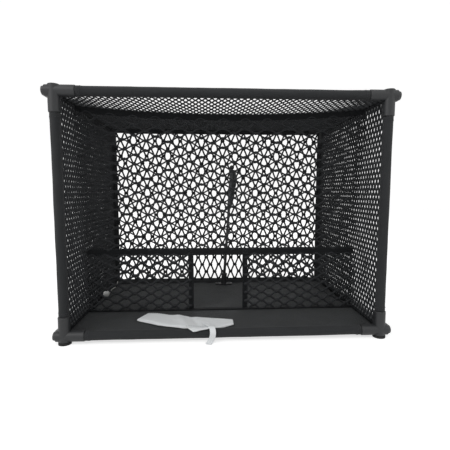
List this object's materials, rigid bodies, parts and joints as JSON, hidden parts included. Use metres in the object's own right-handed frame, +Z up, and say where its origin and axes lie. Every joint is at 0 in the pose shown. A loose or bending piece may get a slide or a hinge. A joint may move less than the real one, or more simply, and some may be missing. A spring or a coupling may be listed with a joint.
{
  "type": "golf chipping net",
  "caption": "Free-standing golf chipping net: a folding tube-frame box of netting with a leaning target net, a ball window, a flagstick and a landing pad.",
  "frame": {"origin": "on the ground, under the centre of the box", "axes": "+X to the right seen from the open mouth, +Y from the mouth towards the back net, +Z up"},
  "size_m": [0.6544, 0.411, 0.476],
  "materials": {
    "black_tube": "satin black powder coat",
    "black_nylon": "moulded matte black nylon",
    "foot_rubber": "dull black rubber",
    "sleeve_cloth": "woven black polyester with a stitched seam",
    "rivet_steel": "zinc plated, lightly worn",
    "washer_nylon": "natural nylon",
    "black_link": "satin black powder coat, worn at the edges",
    "netting": "knotted black polyester twine",
    "floor_cloth": "close woven charcoal cloth",
    "webbing": "ribbed black webbing",
    "screw_steel": "zinc plated",
    "pole_black": "smooth black glass fibre",
    "flag_cloth": "thin black flag cloth",
    "white_cord": "off-white braided elastic",
    "white_ball": "smooth white plastic",
    "white_pad": "white coated cloth",
    "white_strap": "white ribbed webbing"
  },
  "bodies": {
    "rear_frame": {"rear_left_upright": "black_tube", "rear_right_upright": "black_tube", "rear_top_tube": "black_tube", "rear_bottom_tube": "black_tube", "rear_lower_elbows": "black_nylon", "rear_upper_elbows": "black_nylon", "rear_feet": "foot_rubber", "rear_sleeves": "sleeve_cloth", "rear_pivot_rivets": "rivet_steel", "rear_pivot_washers": "washer_nylon", "back_net": "netting", "left_side_net": "netting", "right_side_net": "netting", "top_net": "netting", "floor_cloth": "floor_cloth", "seam_tapes": "webbing", "target_upper_net": "netting", "target_left_net": "netting", "target_right_net": "netting", "cross_band": "webbing", "post_bands": "webbing", "head_band": "webbing", "foot_band": "webbing", "flag_socket": "black_nylon", "socket_plate": "black_nylon", "socket_screws": "screw_steel", "tie_cord": "white_cord"},
    "front_frame": {"front_left_upright": "black_tube", "front_right_upright": "black_tube", "front_top_tube": "black_tube", "front_bottom_tube": "black_tube", "front_lower_elbows": "black_nylon", "front_upper_elbows": "black_nylon", "front_feet": "foot_rubber", "front_sleeves": "sleeve_cloth", "front_pivot_rivets": "rivet_steel", "front_pivot_washers": "washer_nylon", "landing_pad": "white_pad", "pad_strap": "white_strap"},
    "lower_left_rear_arm": {"lower_left_rear_link": "black_link", "lower_left_mid_rivet": "rivet_steel"},
    "lower_left_front_arm": {"lower_left_front_link": "black_link"},
    "lower_right_rear_arm": {"lower_right_rear_link": "black_link", "lower_right_mid_rivet": "rivet_steel"},
    "lower_right_front_arm": {"lower_right_front_link": "black_link"},
    "upper_left_rear_arm": {"upper_left_rear_link": "black_link", "upper_left_mid_rivet": "rivet_steel"},
    "upper_left_front_arm": {"upper_left_front_link": "black_link"},
    "upper_right_rear_arm": {"upper_right_rear_link": "black_link", "upper_right_mid_rivet": "rivet_steel"},
    "upper_right_front_arm": {"upper_right_front_link": "black_link"},
    "tie_ball": {"tie_ball": "white_ball"},
    "flagstick": {"flag_pole": "pole_black", "pole_knob": "black_nylon", "flag_collar": "black_nylon"},
    "flag": {"flag": "flag_cloth"}
  },
  "joints": [
    {"name": "fold", "type": "hinge", "parent": "rear_frame", "child": "lower_left_rear_arm", "pos_m": [-0.3195, 0.193, 0.015], "axis": [-1, 0, 0], "range_deg": [0, 80], "deforming": ["left_side_net", "right_side_net", "top_net", "floor_cloth", "seam_tapes", "target_upper_net", "target_left_net", "target_right_net", "cross_band", "post_bands", "head_band", "foot_band", "tie_cord", "landing_pad"]},
    {"name": "lower_left_middle", "type": "hinge", "parent": "lower_left_rear_arm", "child": "lower_left_front_arm", "pos_m": [-0.3235, 0, 0.015], "axis": [-1, 0, 0], "range_deg": [-160, 0]},
    {"name": "front_hoop_carry", "type": "hinge", "parent": "lower_left_front_arm", "child": "front_frame", "pos_m": [-0.3235, -0.193, 0.015], "axis": [-1, 0, 0], "range_deg": [0, 80]},
    {"name": "lower_right_fold", "type": "hinge", "parent": "rear_frame", "child": "lower_right_rear_arm", "pos_m": [0.3195, 0.193, 0.015], "axis": [-1, 0, 0], "range_deg": [0, 80]},
    {"name": "lower_right_middle", "type": "hinge", "parent": "lower_right_rear_arm", "child": "lower_right_front_arm", "pos_m": [0.3235, 0, 0.015], "axis": [-1, 0, 0], "range_deg": [-160, 0]},
    {"name": "upper_left_fold", "type": "hinge", "parent": "rear_frame", "child": "upper_left_rear_arm", "pos_m": [-0.3195, 0.193, 0.465], "axis": [-1, 0, 0], "range_deg": [-80, 0]},
    {"name": "upper_left_middle", "type": "hinge", "parent": "upper_left_rear_arm", "child": "upper_left_front_arm", "pos_m": [-0.3235, 0, 0.465], "axis": [-1, 0, 0], "range_deg": [0, 160]},
    {"name": "upper_right_fold", "type": "hinge", "parent": "rear_frame", "child": "upper_right_rear_arm", "pos_m": [0.3195, 0.193, 0.465], "axis": [-1, 0, 0], "range_deg": [-80, 0]},
    {"name": "upper_right_middle", "type": "hinge", "parent": "upper_right_rear_arm", "child": "upper_right_front_arm", "pos_m": [0.3235, 0, 0.465], "axis": [-1, 0, 0], "range_deg": [0, 160]},
    {"name": "tie_ball_gather", "type": "slide", "parent": "rear_frame", "child": "tie_ball", "axis": [0, 1, 0], "range_m": [0, 0.115]},
    {"name": "flagstick_lift", "type": "slide", "parent": "rear_frame", "child": "flagstick", "axis": [0.0698, 0, 0.9976], "range_m": [0, 0.06]},
    {"name": "flag_turn", "type": "hinge", "parent": "flagstick", "child": "flag", "pos_m": [0.03366, 0.163, 0.3], "axis": [0.0698, 0, 0.9976], "continuous": true}
  ],
  "couplings": [
    {"joint": "lower_left_middle", "follows": "fold", "ratio": -2},
    {"joint": "front_hoop_carry", "follows": "fold", "ratio": 1},
    {"joint": "lower_right_fold", "follows": "fold", "ratio": 1},
    {"joint": "lower_right_middle", "follows": "fold", "ratio": -2},
    {"joint": "upper_left_fold", "follows": "fold", "ratio": -1},
    {"joint": "upper_left_middle", "follows": "fold", "ratio": 2},
    {"joint": "upper_right_fold", "follows": "fold", "ratio": -1},
    {"joint": "upper_right_middle", "follows": "fold", "ratio": 2},
    {"joint": "tie_ball_gather", "follows": "fold", "m_per_rad": 0.08}
  ]
}
